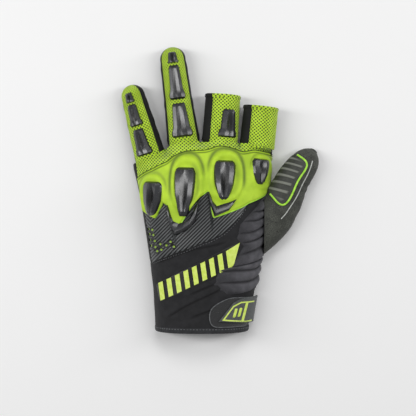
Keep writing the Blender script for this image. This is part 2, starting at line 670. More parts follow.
wave = 0.25 * np.sin(9 * u + 2.1 * run[:, None]) * pleat
high = 1.3 + (2.2 * pleat + wave) * ease - edge_roll(tt.shape, 2.0, 2.0, 0.5) * (1 - 0.5 * u)
valley = np.maximum((1 - smooth_step(0.25, 0.8, pleat)) * 0.85, 0.75 * (1 - smooth_step(0.0, 0.45, u)))
hand_layer("pleated_stretch", "stretch_fabric", ["stretch_panel"], STRETCH_CLOTH, tt, yy, high, 0.5,
           tone=valley)
print("pleats", PLEATS, "grid", tt.shape)

# %% [markdown]
# ## Fingers
# Two fingers are whole and two are cut off at the first joint.  A sleeve is an ellipse carried along
# the finger, closed by a dome.  Its back is the green knit and its sides and palm are black cloth, so
# each is cut out of the same ellipse by angle.  A sleeve that rode on one body would tear open at
# every hinge, so it is cut in the middle of each segment, and each cut piece bends across one hinge.

# %% Finger sections
WEB_WIDTH = float(section(HAND_LENGTH)[1])
FINGERS = {
    "little": dict(root=(-0.723, 0.918), yaw=15.9, roll=-18, lengths=(28.8, 20.5, 16.2),
                   girth=(0.110, 0.098, 0.085, 0.080), rise=(10.5, 9.5, 8.8, 8.0), closed=True),
    "ring": dict(root=(-0.225, 1.014), yaw=7.5, roll=0, lengths=(33.6, 31.5, 15.4),
                 girth=(0.115, 0.100, 0.092, 0.086), rise=(11.5, 10.0, 9.2, 8.6), closed=True),
    "middle": dict(root=(0.28, 1.011), yaw=-4.0, roll=25, lengths=(40.0,), girth=(0.125, 0.121),
                   rise=(12.0, 11.5), closed=False),
    "index": dict(root=(0.807, 0.993), yaw=-6.0, roll=28, lengths=(33.0,), girth=(0.121, 0.120),
                  rise=(12.0, 11.5), closed=False),
}
BACK_ANGLE = 62.0


def hinge_places(finger):
    """Distances of the hinges from the finger's root, and its tip's."""
    return np.concatenate([[0.0], np.cumsum(finger["lengths"])])


def finger_local(finger, x, y, z):
    """Turn points from the finger's own frame, with Y along it, into the glove's."""
    centre, width, _ = section(finger["root"][1] * HAND_LENGTH)
    root = np.array([centre + finger["root"][0] * width / 2, finger["root"][1] * HAND_LENGTH])
    c, s = math.cos(math.radians(finger["yaw"])), math.sin(math.radians(finger["yaw"]))
    return np.stack([root[0] + x * c - y * s, root[1] + x * s + y * c, z], axis=-1)


def finger_size(finger, y):
    """Half width, half height and share of the section at a distance along the finger."""
    joints = hinge_places(finger)
    a = np.interp(y, joints, np.array(finger["girth"]) * WEB_WIDTH)
    b = np.interp(y, joints, finger["rise"])
    share = np.ones_like(y)
    if finger["closed"]:
        dome = finger["girth"][-1] * WEB_WIDTH
        straight = joints[-1] - dome
        share = np.sqrt(np.clip(1 - np.clip((y - straight) / dome, 0, 1) ** 2, 0, 1))
    return a, b, share


def finger_skin(finger, y, theta, offset=0.0):
    """Point of the sleeve theta degrees round from its top: an ellipse grown by an offset."""
    a, b, share = finger_size(finger, y)
    s, c = np.sin(np.radians(theta)), np.cos(np.radians(theta))
    low = b + 0.2
    return finger_local(finger, (a + offset) * share * s, y, low + (b + offset) * share * c)


def finger_rows(finger, start, end, step):
    """Distances along the finger from start to end, closer together over the dome."""
    joints = hinge_places(finger)
    if not finger["closed"] or end < joints[-1]:
        return np.linspace(start, end, max(4, round((end - start) / step)))
    dome = finger["girth"][-1] * WEB_WIDTH
    straight = joints[-1] - dome
    body = np.linspace(start, straight, max(3, round((straight - start) / step)))[:-1]
    return np.concatenate([body, straight + dome * np.sin(np.linspace(0, np.pi / 2, 22))])


print("web width", round(WEB_WIDTH, 1))
print("hinges", {name: hinge_places(finger).round(1).tolist() for name, finger in FINGERS.items()})

# %% [markdown]
# The knit yoke runs from the knuckle panel to the fingers.  Near its front edge it comes down from
# the hand's arch to the sleeves: the height there is a mix of the arch and of the highest sleeve under
# each point, so that it dips into the webs between the fingers.

# %% Knit yoke
def sleeve_height(x, y):
    """Height of the highest sleeve over a plan point; a low floor between the sleeves."""
    best = np.full_like(x, 11.0)
    for finger in FINGERS.values():
        centre, width, _ = section(finger["root"][1] * HAND_LENGTH)
        rx, ry = x - (centre + finger["root"][0] * width / 2), y - finger["root"][1] * HAND_LENGTH
        c, s = math.cos(math.radians(finger["yaw"])), math.sin(math.radians(finger["yaw"]))
        across, along = rx * c + ry * s, -rx * s + ry * c
        a, b, _ = finger_size(finger, np.clip(along, 0, None))
        inside = np.clip(1 - np.abs(across / (a + 1.0)) ** 2.2, 0, 1)
        best = np.maximum(best, b + 0.2 + (b + 0.9) * inside ** (1 / 2.2))
    return best


t, span = even_angles(T_LEFT + 0.3, SIDE, 0.45)
lower = seam_height(YOKE_SEAM, t, 2.0) - 0.6
front = seam_height(FRONT_LINE, t, 1.5)
tt, yy = between_seams(t, lower, front, 0.45)
flat = arch(tt, yy)
cloth = np.stack(np.broadcast_arrays(np.linspace(0, span, len(t)), yy), axis=-1)
hollow = 0.35 * holes_at(cloth[..., 0], cloth[..., 1])
room = np.minimum(11.0, 0.92 * (front - lower))[None]
drop = smooth_step(room, 0.3, front[None] - yy) * smooth_step(SIDE, 74.0, np.abs(tt))
height = flat[..., 2] + (sleeve_height(flat[..., 0], flat[..., 1]) - flat[..., 2]) * drop
lift = 1.9 - 1.2 * drop - edge_roll(tt.shape, 2.0, 2.0, 0.5)
top = arch(tt, yy, lift - hollow)
top[..., 2] += (height - flat[..., 2])
bottom = arch(tt, yy, 0.1)
bottom[..., 2] += (height - flat[..., 2]) - 0.3 * drop
yoke = panel("knit_yoke", top, bottom, KNIT, uv=cloth)
place(yoke, ["mesh_yoke"], body="hand")
print("yoke", tt.shape)

# %% Sleeves, one cut piece for each hinge
NAMES = {"little": ["little_base", "little_middle", "little_tip"],
         "ring": ["ring_base", "ring_middle", "ring_tip"], "middle": ["middle_stub"], "index": ["index_stub"]}


SLEEVE_PARTS = {"back": ("knit", KNIT, "mesh", "back"), "sides": ("sides", SIDE_CLOTH, "fourchette", "wrap")}


def sleeve_cut(name, index, part):
    """One piece of a sleeve: the back or the sides between the middles of two segments."""
    finger = FINGERS[name]
    joints = hinge_places(finger)
    middles = (joints[:-1] + joints[1:]) / 2
    last = index == len(middles) - 1
    start = (-2.0 if part == "back" else -7.0) if index == 0 else middles[index - 1]
    end = joints[-1] - (0.0 if finger["closed"] else 3.0) if last else middles[index]
    y = finger_rows(finger, start, end, 0.45)[:, None]
    radius = (finger["girth"][0] * WEB_WIDTH + finger["rise"][0]) / 2
    if part == "back":
        around = round(radius * math.radians(2 * BACK_ANGLE) / 0.45)
        theta = np.linspace(-BACK_ANGLE, BACK_ANGLE, around)[None]
    else:
        theta = np.linspace(BACK_ANGLE - 2, 362 - BACK_ANGLE, 110)[None]
    cloth = np.stack(np.broadcast_arrays(np.radians(theta) * radius, y), axis=-1)
    edge = np.minimum(theta - theta.min(), theta.max() - theta)
    roll = 1 - smooth_step(0, 7.0, edge)
    if part == "back":
        offset = 0.45 - 0.35 * holes_at(cloth[..., 0], cloth[..., 1]) - 0.75 * roll
        inner = -0.9
    else:
        fold = np.sin(y / 2.3 + 0.8 * np.sin(np.radians(theta) * 2))
        fold = fold * np.exp(-((y - joints[index]) / 7.0) ** 2)
        tucked = smooth_step(2.0, -3.0, y) if index == 0 else 0.0
        offset = 0.1 + 0.28 * fold - 0.3 * roll - 1.1 * tucked
        inner = -1.3 if index else -2.2
    turned = theta + finger["roll"]
    top = finger_skin(finger, y, turned, offset)
    top[..., 2] = np.maximum(top[..., 2], 0.12)
    bottom = finger_skin(finger, y, turned, np.full_like(offset, inner))
    body = NAMES[name][index]
    parent = "hand" if index == 0 else NAMES[name][index - 1]
    low = float(finger_size(finger, joints[index])[1]) + 0.2
    reach = (-6.5, 6.5) if index else (-4.2, 7.0)
    ends = [finger_local(finger, 0.0, joints[index] + d, low) for d in reach]
    word, finish, slot, node = SLEEVE_PARTS[part]
    item = panel(f"{body}_{word}", top, bottom, finish, uv=cloth)
    return place(item, [f"{body}_{node}"], bend=(parent, body, *ends))


for name in FINGERS:
    for index in range(len(NAMES[name])):
        made = [sleeve_cut(name, index, part) for part in ("back", "sides")]
        print(NAMES[name][index], [len(item.data.polygons) for item in made])

# %% Hems of the cut-off fingers
def hem_ring(name, part, first, last, finish):
    """Folded band on part of the open end: a rounded profile carried round the sleeve's ellipse and
    shrunk to a pole at both ends."""
    finger = FINGERS[name]
    end = hinge_places(finger)[-1]
    around = np.radians(np.linspace(0, 360, 40))
    along = end - 1.6 + 1.7 * np.sign(np.cos(around)) * np.abs(np.cos(around)) ** 0.7
    out = -0.35 + 0.95 * np.sin(around)
    theta = np.linspace(first, last, 100)
    full = np.ones(100)
    full[[0, -1]] = 0
    y = end - 1.6 + (along[:, None] - end + 1.6) * full
    points = finger_skin(finger, y, theta[None] + finger["roll"],
                         -0.35 + (out[:, None] + 0.35 + 0.12 * np.sin(np.radians(theta * 22))[None]) * full)
    points[..., 2] = np.maximum(points[..., 2], 0.1)
    cloth = np.stack(np.broadcast_arrays(theta[None] * 0.2, y), axis=-1)
    return make_piece(f"{name}_{part}_hem", points.reshape(-1, 3), grid_faces(40, 100), finish,
                      cloth.reshape(-1, 2))


for name in ("middle", "index"):
    place(hem_ring(name, "knit", -BACK_ANGLE, BACK_ANGLE, KNIT), body=f"{name}_stub")
    sides = hem_ring(name, "turned", BACK_ANGLE - 1, 361 - BACK_ANGLE, SIDE_CLOTH)
    place(sides, [f"{name}_hem"], body=f"{name}_stub")

# %% [markdown]
# ## Armour
# Each guard is a moulded bar of hard rubber with crisp facets: a bevelled rim, two long ridges and a
# leaf-shaped hollow between them.  It could be cut from a block with bevels, but it has to follow a
# curved seat, so it is a height over the seat: a profile across, scaled by one along.

# %% Guards
ACROSS = np.array([-1.0, -0.985, -0.80, -0.40, -0.13, 0.0, 0.13, 0.40, 0.80, 0.985, 1.0])


def guard_heights(v, tall):
    """Height of the facets: columns are the fold lines across, rows run along from 0 to 1.
    Rim, shoulder and ridge heights are fixed shares; the hollow opens and closes as sin(pi v)."""
    leaf = np.sin(np.pi * np.clip((v - 0.06) / 0.9, 0, 1))[:, None] ** 0.8
    end = np.minimum(1, np.minimum(v / 0.055, (1 - v) / 0.10))[:, None]
    profile = np.array([-0.9, 0.12, 0.62, 1.0, 0.93, 0.9, 0.93, 1.0, 0.62, 0.12, -0.9])
    dip = np.array([0, 0, 0, 0, 0.26, 0.5, 0.26, 0, 0, 0, 0])
    crown = 0.86 + 0.14 * np.sin(np.pi * v)[:, None]
    height = tall * (profile * crown - dip * leaf)
    return np.where(profile > 0, height * (0.25 + 0.75 * end), height)


def soften_edges(item, width_mm):
    """Small bevel on the sharp folds, which catches the light."""
    bevel = item.modifiers.new("soft_edges", "BEVEL")
    bevel.width, bevel.segments, bevel.limit_method = width_mm * MM, 2, "ANGLE"
    return bevel


def guard(name, seat, outline, length, tall):
    """Guard over a seat: seat(x, y, h) gives the place of a point h above the carrier.
    The outline gives (distance share, half width) pairs.  The tone darkens the rim and the hollow."""
    v = np.concatenate([[0, 0.006, 0.055], np.linspace(0.08, 0.9, 34), [0.945, 0.992, 1.0]])
    half = np.interp(v, *np.array(outline).T)[:, None]
    leaf = 0.35 + 0.65 * np.sin(np.pi * np.clip((v - 0.04) / 0.94, 0, 1))[:, None]
    squeeze = np.where(np.abs(ACROSS) < 0.2, leaf * 1.5, 1.0)
    x = half * ACROSS * squeeze
    h = guard_heights(v, tall)
    h[[0, -1]] = -0.9
    y = np.broadcast_to((v * length)[:, None], x.shape)
    top = seat(x, y, h)
    bottom = seat(x * 0.96, y, np.full_like(x, -1.0))
    depth = np.where(np.abs(ACROSS) < 0.2, leaf ** 2, np.where(np.abs(ACROSS) > 0.9, 0.8, 0.0))
    depth[[0, 1, 2, -2, -1]] = np.maximum(depth[[0, 1, 2, -2, -1]], 0.7)
    item = panel(name, top, bottom, ARMOUR, tone=depth, sharp=24.0)
    soften_edges(item, 0.22).angle_limit = math.radians(22)
    return item


def knuckle_seat(top, yaw):
    """Seat on the back of the hand: from the guard's finger end towards the wrist."""
    centre, width, _ = section(top[1] * HAND_LENGTH)
    start = np.array([centre + top[0] * width / 2, top[1] * HAND_LENGTH])
    c, s = math.cos(math.radians(yaw)), math.sin(math.radians(yaw))

    def seat(x, y, h):
        px, py = start[0] + x * c + y * s, start[1] + x * s - y * c
        t = plan_angle(px, py)
        low = arch(t, py, 3.3)
        centre_t = plan_angle(start[0] + y * s, start[1] - y * c)
        lean = np.radians(centre_t) * 0.55
        return low + np.stack([h * np.sin(lean), np.zeros_like(h), h * np.cos(lean)], axis=-1)
    return seat


KNUCKLE_OUTLINE = [(0, 0.80), (0.035, 0.86), (0.12, 1.0), (0.3, 0.99), (0.58, 0.88), (0.82, 0.62),
                   (0.95, 0.42), (1, 0.34)]
KNUCKLE_PLATES = {
    "little": dict(top=(-0.700, 0.800), length=28.5, half=8.1, yaw=-3.0),
    "ring": dict(top=(-0.222, 0.874), length=40.5, half=8.6, yaw=-1.5),
    "middle": dict(top=(0.326, 0.911), length=33.5, half=8.8, yaw=-1.5),
    "index": dict(top=(0.832, 0.921), length=21.5, half=7.0, yaw=-5.0),
}
for name, spec in KNUCKLE_PLATES.items():
    half = spec["half"]
    outline = [(share, wide * half) for share, wide in KNUCKLE_OUTLINE]
    seat = knuckle_seat(spec["top"], spec["yaw"])
    item = guard(f"knuckle_guard_{name}", seat, outline, spec["length"], 4.3)
    place(item, [f"knuckle_plate_{name}"], body="hand")

# %% V-shaped guards
VEES = {
    "ring": dict(tip=(-0.477, 0.522),
                 outer=[(-5.9, 24.4), (-4.5, 14.0), (-3.2, 6.5), (0.6, -0.6), (6.5, 2.3), (11.5, 5.6),
                        (15.9, 11.5), (20.0, 31.6)],
                 inner=[(-5.3, 23.4), (-2.9, 15.4), (-1.2, 11.0), (3.0, 9.1), (7.8, 10.7), (11.8, 14.7),
                        (15.4, 22.8), (19.6, 31.2)]),
    "middle": dict(tip=(0.125, 0.614),
                   outer=[(-4.6, 20.4), (-2.2, 10.0), (1.2, 0.0), (12.2, 5.2), (18.2, 14.2)],
                   inner=[(-2.6, 20.5), (-0.2, 13.0), (3.0, 9.0), (9.6, 11.4), (16.8, 14.6)]),
}
for name, spec in VEES.items():
    centre, width, _ = section(spec["tip"][1] * HAND_LENGTH)
    tip = np.array([centre + spec["tip"][0] * width / 2, spec["tip"][1] * HAND_LENGTH])
    last = len(spec["outer"]) - 1
    run = np.linspace(0, last, 20 * last + 1)
    outer, inner = (np.stack([np.interp(run, range(last + 1), np.array(line)[:, i]) for i in (0, 1)], axis=-1)
                    for line in (spec["outer"], spec["inner"]))
    w = np.array([0, 0.03, 0.3, 0.62, 0.97, 1.0])
    plan = tip + outer[:, None] + (inner - outer)[:, None] * w[None, :, None]
    taper = smooth_step(-0.1, 0.5, np.minimum(run, last - run))[:, None]
    h = np.array([-1.5, 1.1, 3.0, 2.5, 0.7, -1.5])
    h = h * np.where(h > 0, 0.35 + 0.65 * taper, 1)
    t = plan_angle(plan[..., 0], plan[..., 1])
    top = arch(t, plan[..., 1], 3.0 + h)
    depth = np.broadcast_to(np.array([1, 0.5, 0, 0.1, 0.9, 1.0]), h.shape)
    under = arch(t, plan[..., 1], np.full_like(h, 1.4))
    vee = panel(f"knuckle_vee_{name}", top, under, ARMOUR, tone=depth, sharp=24.0)
    soften_edges(vee, 0.2)
    place(vee, [f"knuckle_chevron_{name}"], body="hand")

# %% Finger guards
# where each guard starts and ends along its finger, and its width at both ends
FINGER_PLATES = {
    "little_base": (4.7, 27.4, 12.2, 8.4), "little_middle": (30.0, 48.6, 9.4, 7.2),
    "little_tip": (50.2, 58.8, 7.0, 5.2),
    "ring_base": (3.4, 32.2, 15.0, 10.4), "ring_middle": (35.2, 64.2, 11.2, 8.2),
    "ring_tip": (66.0, 75.6, 8.0, 6.2),
    "middle_stub": (4.0, 27.6, 13.6, 10.4),
}


def finger_seat(finger, start):
    def seat(x, y, h):
        a, b, _ = finger_size(finger, start + y)
        theta = finger["roll"] + np.degrees(x / ((a + b) / 2))
        return finger_skin(finger, start + y, theta, 0.35 + h)
    return seat


for body, (start, end, wide, narrow) in FINGER_PLATES.items():
    finger = FINGERS[body.split("_")[0]]
    length = end - start
    flare = 1.0 if "tip" in body else 1.12
    outline = [(0, 0.42 * wide * flare), (0.05, 0.5 * wide * flare), (0.16, 0.5 * wide * flare),
               (0.3, 0.45 * wide), (0.9, 0.5 * narrow), (1, 0.42 * narrow)]
    item = guard(f"{body}_guard", finger_seat(finger, start), outline, length, 2.7)
    place(item, [f"{body}_plate"], body=body)
print("guards", len(KNUCKLE_PLATES) + len(VEES) + len(FINGER_PLATES))

# %% [markdown]
# ## Thumb
# The thumb is a leather sleeve sewn to the side of the hand.  Its sections are control rings of one
# spline, so centre, sideways direction and height are splines of the same numbers.  It is cut once,
# between its two hinges, and each half bends across its own.

# %% Thumb sleeve
THUMB_HEIGHT = 11.6
# place from the seam, heading, half width and share of the height
THUMB_RINGS = np.array([(-0.6, 1.5, 0.0, 25.5, 1.0), (10.5, 10.8, 29.5, 20.2, 1.0),
                        (14.6, 19.3, 51.5, 16.6, 0.97), (20.2, 29.6, 55.0, 15.3, 0.95),
                        (23.9, 38.8, 53.4, 13.9, 0.93), (28.9, 45.5, 53.4, 13.2, 0.89),
                        (33.7, 52.2, 53.4, 12.3, 0.85), (37.6, 57.5, 53.4, 10.4, 0.75),
                        (40.4, 61.2, 53.4, 7.2, 0.54), (41.8, 63.1, 53.4, 3.6, 0.28)])
anchor_y = 0.565 * HAND_LENGTH
THUMB_ANCHOR = np.array([float(section(anchor_y)[0] + section(anchor_y)[1] / 2), anchor_y, 0.0])
heading = np.radians(THUMB_RINGS[:, 2])
rise = THUMB_HEIGHT * THUMB_RINGS[:, 4]
THUMB_CENTRES = THUMB_ANCHOR + np.stack([THUMB_RINGS[:, 0], THUMB_RINGS[:, 1], rise + 0.2], axis=1)
THUMB_SIDES = np.stack([np.sin(heading), -np.cos(heading), 0 * heading], axis=1) * THUMB_RINGS[:, 3:4]


def thumb_skin(u, phi, offset=0.0):
    """Point of the thumb phi degrees round from its palm-side edge: centre + cos * side + sin * up."""
    centre, side = spline(THUMB_CENTRES, u), spline(THUMB_SIDES, u)
    tall = spline(np.stack([rise, rise, rise], axis=1), u)[..., 0]
    wide = np.linalg.norm(side, axis=-1)
    c, s = np.cos(np.radians(phi)), np.sin(np.radians(phi))
    out = centre + side * ((1 + offset / wide) * c)[..., None]
    out[..., 2] += (tall + offset) * s
    return out


u = np.linspace(0, 7, 400)
line = spline(THUMB_CENTRES, u)
THUMB_HINGE = THUMB_ANCHOR + np.array([23.9, 38.8, THUMB_HEIGHT * 0.93 + 0.2])
joint_u = float(u[np.argmin(np.linalg.norm(line - THUMB_HINGE, axis=1))])
root_u = 0.35
cut_u = (joint_u * 0.62 + root_u)
print("thumb hinge at", round(joint_u, 2), "cut at", round(cut_u, 2))


def thumb_cut(name, first, last, bend, nodes=(), close=False):
    """Length of the thumb's sleeve with puckers at its joint and its root, closed by a dome if asked."""
    u = np.linspace(first, last, round((last - first) * 26))
    if close:
        u = np.append(u, np.full(4, 7.0))
    phi = np.linspace(0, 360, 200)
    uu, pp = np.meshgrid(u, phi, indexing="ij")
    puckers = 0.30 * np.sin(uu * 9 + 1.5 * np.sin(np.radians(pp) * 2)) * np.exp(-((uu - joint_u) / 0.9) ** 2)
    puckers += 0.35 * np.sin(uu * 5 + np.radians(pp) * 3) * np.exp(-((uu - 1.0) / 0.8) ** 2)
    top = thumb_skin(uu, pp, puckers)
    bottom = thumb_skin(uu, pp, np.full_like(uu, -1.1))
    if close:
        for k, share in enumerate((0.9, 0.65, 0.32, 0.0)):
            tip = spline(THUMB_CENTRES, 7.0) + np.array([0.8, 0.6, 0]) * (1.5 * math.sqrt(1 - share ** 2))
            top[-4 + k] = tip + (top[-5] - spline(THUMB_CENTRES, 7.0)) * share
            bottom[-4 + k] = tip + (bottom[-5] - spline(THUMB_CENTRES, 7.0)) * share - np.array([0.8, 0.6, 0])
    top[..., 2] = np.maximum(top[..., 2], 0.15)
    item = panel(name, top, bottom, THUMB_LEATHER)
    return place(item, nodes, bend=bend)


root_low = THUMB_ANCHOR + np.array([-5.0, 0.0, 11.8])
root_high = THUMB_ANCHOR + np.array([7.0, 0.0, 11.8])
along_thumb = np.array([math.cos(math.radians(53.4)), math.sin(math.radians(53.4)), 0.0])
TIP_BEND = ("thumb_base", "thumb_tip", THUMB_HINGE - 8.0 * along_thumb, THUMB_HINGE + 8.0 * along_thumb)
thumb_cut("thumb_root", 0.0, cut_u, ("hand", "thumb_base", root_low, root_high))
thumb_cut("thumb_end", cut_u, 7.0, TIP_BEND, ["thumb_sleeve", "thumb_tip_sleeve"], close=True)

# %% [markdown]
# A ribbed grip patch covers the back of the thumb, with lime piping round its outer edge and a pale
# line beyond it.  The patch is a grid over the thumb's own surface, and the piping is a round
# profile carried along the patch's edge.

# %% Grip patch, piping and stitches
def frames_along(ahead):
    """Unit vectors ahead, sideways and up at points of a path, from its steps ahead."""
    ahead = ahead / (np.linalg.norm(ahead, axis=1)[:, None] + 1e-9)
    side = np.cross(ahead, [0.0, 0.0, 1.0])
    side /= np.linalg.norm(side, axis=1)[:, None]
    return ahead, side, np.cross(side, ahead)


def rope(name, path, radius, finish, sides=10):
    """Round profile carried along a path of points, closed by poles at both ends."""
    _, side, up = frames_along(np.gradient(path, axis=0))
    turn = np.linspace(0, 2 * np.pi, sides + 1)
    size = np.full(len(path), radius)
    size[0] = size[-1] = 1e-4
    points = path[:, None] + size[:, None, None] * (side[:, None] * np.cos(turn)[None, :, None]
                                                    + up[:, None] * np.sin(turn)[None, :, None])
    return make_piece(name, points.reshape(-1, 3), grid_faces(len(path), sides + 1), finish)


def stitch_row(name, path, pitch, length, radius, finish, lift=0.1):
    """Row of short threads: one small capsule, repeated at even steps along a path."""
    run = np.concatenate([[0], np.cumsum(np.linalg.norm(np.diff(path, axis=0), axis=1))])
    count = max(2, int(run[-1] / pitch))
    at = np.linspace(pitch / 2, run[-1] - pitch / 2, count)
    centre = np.stack([np.interp(at, run, path[:, i]) for i in range(3)], axis=-1)
    beyond = np.stack([np.interp(at + 0.3, run, path[:, i]) for i in range(3)], axis=-1)
    ahead, side, up = frames_along(beyond - centre)
    v = np.array([-1.0, -0.7, 0.0, 0.7, 1.0])
    girth = np.array([0.01, 0.8, 1.0, 0.8, 0.01]) * radius
    turn = np.linspace(0, 2 * np.pi, 7)
    ring = (v * length / 2)[None, :, None, None] * ahead[:, None, None]
    ring = ring + girth[None, :, None, None] * (side[:, None, None] * np.cos(turn)[None, None, :, None]
                                                + up[:, None, None] * np.sin(turn)[None, None, :, None])
    sink = (np.array([-0.25, 0.05, 0.15, 0.05, -0.25]) + lift)[None, :, None, None] * up[:, None, None]
    points = centre[:, None, None] + ring + sink
    one = grid_faces(5, 7)
    faces = (one[None] + (np.arange(count) * 35)[:, None, None]).reshape(-1, 4)
    return make_piece(name, points.reshape(-1, 3), faces, finish)


PATCH_U = (0.75, 5.3)


def patch_edges(u):
    """Angles of the grip patch's two long edges, rounded in at its ends."""
    q = np.clip((u - PATCH_U[0]) / (PATCH_U[1] - PATCH_U[0]), 0, 1)
    ends = (1 - np.abs(2 * q - 1) ** 7) ** (1 / 3)
    return 120 - 43 * ends, 122 + 46 * ends


def grip_patch(first, last):
    """Patch over the thumb's back between two places along it, with slanted bars raised inside its rim."""
    u = np.linspace(first, last, round((last - first) * 60))
    right, left = patch_edges(u)
    w = np.linspace(0, 1, 60)
    uu = np.broadcast_to(u[:, None], (len(u), 60))
    pp = right[:, None] + (left - right)[:, None] * w[None]
    bars = smooth_step(0.15, 0.75, np.cos(TURN * (uu * 1.5 + 1.3 * w[None] + 0.1)))
    bars = bars * smooth_step(0.12, 0.2, w)[None] * smooth_step(0.06, 0.16, 1 - w)[None]
    bars = bars * smooth_step(0.15, 0.5, uu - PATCH_U[0]) * smooth_step(0.2, 0.7, PATCH_U[1] - uu)
    top = thumb_skin(uu, pp, 1.25 + 0.75 * bars - edge_roll(uu.shape, 1.0, 2.0, 0.3))
    item = panel("thumb_grip_patch", top, thumb_skin(uu, pp, np.full_like(uu, -0.2)), THUMB_PATCH, tone=bars)
    return place(item, ["thumb_patch_lower", "thumb_patch_upper"], bend=TIP_BEND)


grip_patch(PATCH_U[0] + 0.01, PATCH_U[1] - 0.01)
u = np.linspace(PATCH_U[0] + 0.015, PATCH_U[1] - 0.015, 160)
right, left = patch_edges(u)
loop_u = np.concatenate([np.full(16, u[0]), u, np.full(30, u[-1])])
loop_phi = np.concatenate([np.linspace(left[0], right[0], 16), right, np.linspace(right[-1], left[-1], 30)])
piping = rope("thumb_piping", thumb_skin(loop_u, loop_phi, np.full_like(loop_u, 1.0)), 0.85, LIME_PIPING)
place(piping, bend=TIP_BEND)
row_u = np.linspace(PATCH_U[0] - 0.3, PATCH_U[1] + 0.5, 160)
row_phi = 70 - 15 * np.sin(np.pi * (row_u - row_u[0]) / (row_u[-1] - row_u[0]))
pale_line = rope("thumb_pale_line", thumb_skin(row_u, row_phi, np.full_like(row_u, 0.25)), 0.42, PALE_THREAD)
place(pale_line, bend=TIP_BEND)

# %% [markdown]
# ## Cuff binding, pile pad and closure strap
# The cuff's mouth is bound with folded tape, a rounded profile carried round the arch and back under
# the palm.  The strap is a rubber-faced tab hinged on the thumb's side, with a raised lime frame; it
# closes on a pad of pile whose edge is overlocked with thick thread.

# %% Binding
t = np.linspace(-89.6, 89.6, 220)
outer_ring = arch(t, np.zeros_like(t), 0.0)
flat_x = np.linspace(outer_ring[-1, 0], outer_ring[0, 0], 60)[1:-1]
profile = np.radians(np.linspace(0, 360, 31))
along = 2.45 + 2.45 * np.sign(np.cos(profile)) * np.abs(np.cos(profile)) ** 0.6
out = 0.35 + 1.35 * np.sign(np.sin(profile)) * np.abs(np.sin(profile)) ** 0.7
pucker = 0.10 * np.sin(np.arange(220) * 1.1)
upper = np.stack([arch(t, np.full_like(t, a), o + pucker) for a, o in zip(along, out)])
sole = np.stack([np.stack([flat_x, np.full_like(flat_x, a), np.full_like(flat_x, 1.0 - 0.5 * o)], axis=-1)
                 for a, o in zip(along, out)])
ring_points = np.concatenate([upper, sole, upper[:, :1]], axis=1)
ring_points[..., 2] = np.maximum(ring_points[..., 2], 0.05)
binding = make_piece("cuff_binding_tape", ring_points.reshape(-1, 3), grid_faces(*ring_points.shape[:2]),
                     BINDING_TAPE)
place(binding, ["cuff_binding"], body="hand")
t = np.linspace(-80, 80, 300)
place(stitch_row("binding_stitches", arch(t, np.full_like(t, 3.5), 1.7), 2.6, 1.8, 0.26, DARK_THREAD),
      body="hand")

# %% Pile pad
def cuff_outline(pairs):
    """Plan points of an outline drawn from the middle of the cuff's hem."""
    return np.array(pairs) + [CUFF_CENTRE, 0.0]


def rounded(outline, count=200, soften=9):
    """Closed outline with its corners rounded by averaging neighbours round the loop."""
    loop = np.concatenate([outline, outline[:1]])
    run = np.concatenate([[0], np.cumsum(np.linalg.norm(np.diff(loop, axis=0), axis=1))])
    at = np.linspace(0, run[-1], count, endpoint=False)
    line = np.stack([np.interp(at, run, loop[:, i]) for i in (0, 1)], axis=-1)
    return np.mean([np.roll(line, k, axis=0) for k in range(-soften, soften + 1)], axis=0)


def patch_over_hand(name, outline, low, high, finish, crown=0.3, rings=40):
    """Closed patch on the form: rings that shrink from its outline to its middle, crowned inside."""
    line = np.concatenate([outline, outline[:1]])
    middle = outline.mean(axis=0)
    share = np.linspace(1, 0, rings)[:, None, None]
    plan = middle + (line - middle)[None] * share
    t = plan_angle(plan[..., 0], plan[..., 1])
    out = share[..., 0]
    swell = crown * (1 - smooth_step(0.75, 1.0, out)) - 0.35 * smooth_step(0.965, 1.0, out)
    top = arch(t, plan[..., 1], high + np.broadcast_to(swell, t.shape))
    return panel(name, top, arch(t, plan[..., 1], np.full_like(t, low)), finish)


pad_line = rounded(cuff_outline([(6.2, 18.5), (10.3, 23.5), (21.6, 29.4), (38.0, 29.4), (38.0, 5.4),
                                 (9.0, 5.4), (6.6, 8.4)]))
pad = patch_over_hand("pile_pad", pad_line, 1.0, 2.3, PILE)
place(pad, ["loop_pad"], body="hand")
edge = np.concatenate([pad_line, pad_line[:1]])
edge_points = arch(plan_angle(edge[:, 0], edge[:, 1]), edge[:, 1], 1.9)
place(stitch_row("pad_overlock", edge_points, 0.95, 1.3, 0.42, DARK_THREAD), body="hand")

# %% Closure strap
q = np.linspace(0, 1, 90)
left_line = cuff_outline([(12.9, 10.1), (24.4, 25.6), (32.0, 29.8)])
left = np.stack([np.interp(q, [0, 0.82, 1], left_line[:, i]) for i in (0, 1)], axis=-1)
right_y = 7.4 + (29.8 - 7.4) * q
t_left = plan_angle(left[:, 0], left[:, 1])[:, None]
w = np.linspace(0, 1, 150)[None]
tt = t_left + (87.0 - t_left) * w
yy = left[:, 1:2] + (right_y - left[:, 1])[:, None] * w
plan = arch(tt, yy, 4.5)
edge = np.minimum(np.minimum(q, 1 - q)[:, None] * 22, np.minimum(w * 38, 1.0))
rim = 0.28 * np.exp(-((edge - 1.0) / 0.7) ** 2)
top = arch(tt, yy, 4.45 + rim - 0.55 * (1 - smooth_step(0, 0.7, edge)))
tab = panel("strap_tab_face", top, arch(tt, yy, 3.25), STRAP_RUBBER)
fold_low, fold_high = (np.array([30.0, 20.0, z]) for z in (6.5, 14.5))
place(tab, ["strap_tab", "strap_anchor"], bend=("hand", "strap", fold_low, fold_high))
seam = np.concatenate([plan[3, 4:140], plan[86, 140:4:-1]])
place(stitch_row("strap_stitches", seam, 1.9, 1.3, 0.2, DARK_THREAD, 0.3),
      bend=("hand", "strap", fold_low, fold_high))
MARK_CORNERS = np.array([(0, 0), (1.9, 0), (3.9, 7.4), (2.0, 7.4)])
